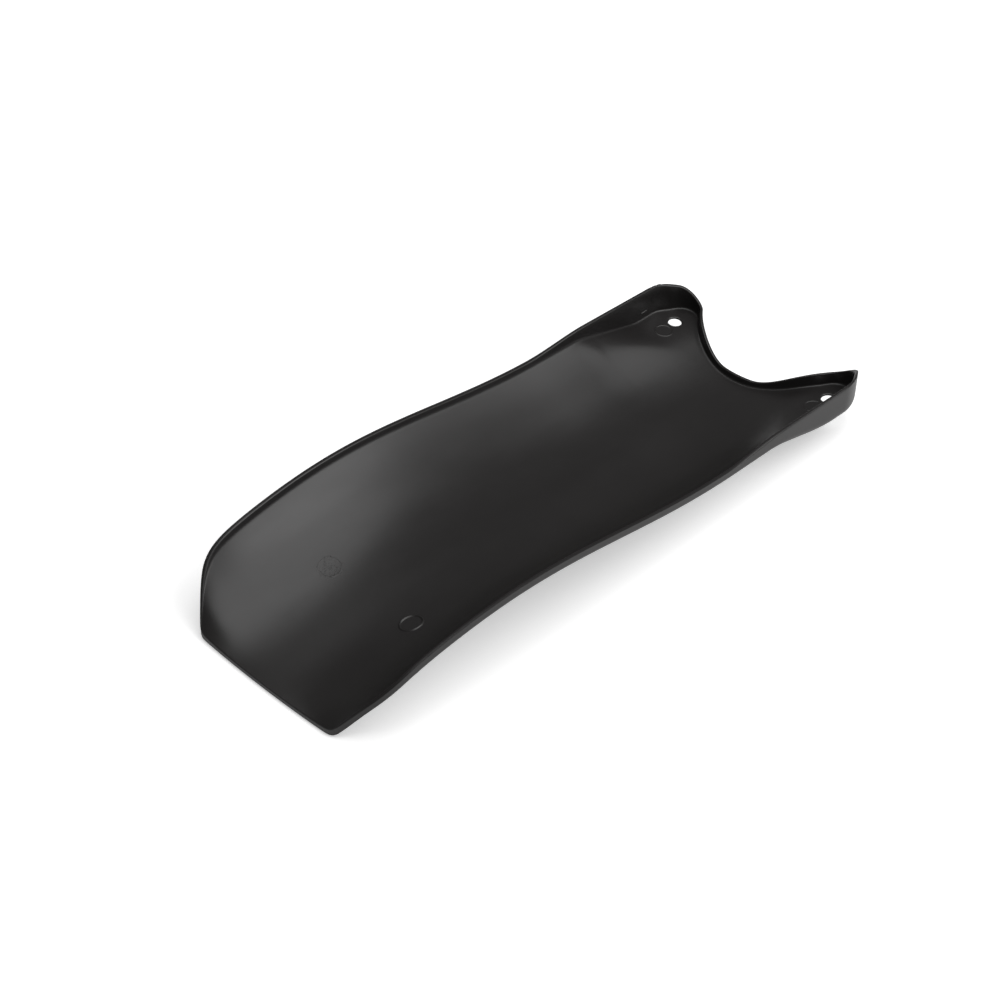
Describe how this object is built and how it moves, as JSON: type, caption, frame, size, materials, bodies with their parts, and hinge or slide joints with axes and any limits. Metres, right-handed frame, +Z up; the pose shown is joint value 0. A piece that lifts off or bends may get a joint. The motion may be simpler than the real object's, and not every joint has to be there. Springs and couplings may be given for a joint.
{
  "type": "motorcycle rear shock mud flap",
  "caption": "One-piece moulded plastic trough with a rounded notch, two walled ears and a screw hole in each, made to shield a rear shock from mud.",
  "frame": {"origin": "centre of the bounding box's underside, where the flap rests on the middle of its trough and on its wide end", "axes": "+X along the flap from its wide end towards the two ears, +Y across it, +Z up, the side that the trough opens to"},
  "size_m": [0.3149, 0.1208, 0.0354],
  "materials": {
    "plastic": "satin black"
  },
  "bodies": {
    "root": {"flap": "plastic"}
  },
  "joints": []
}
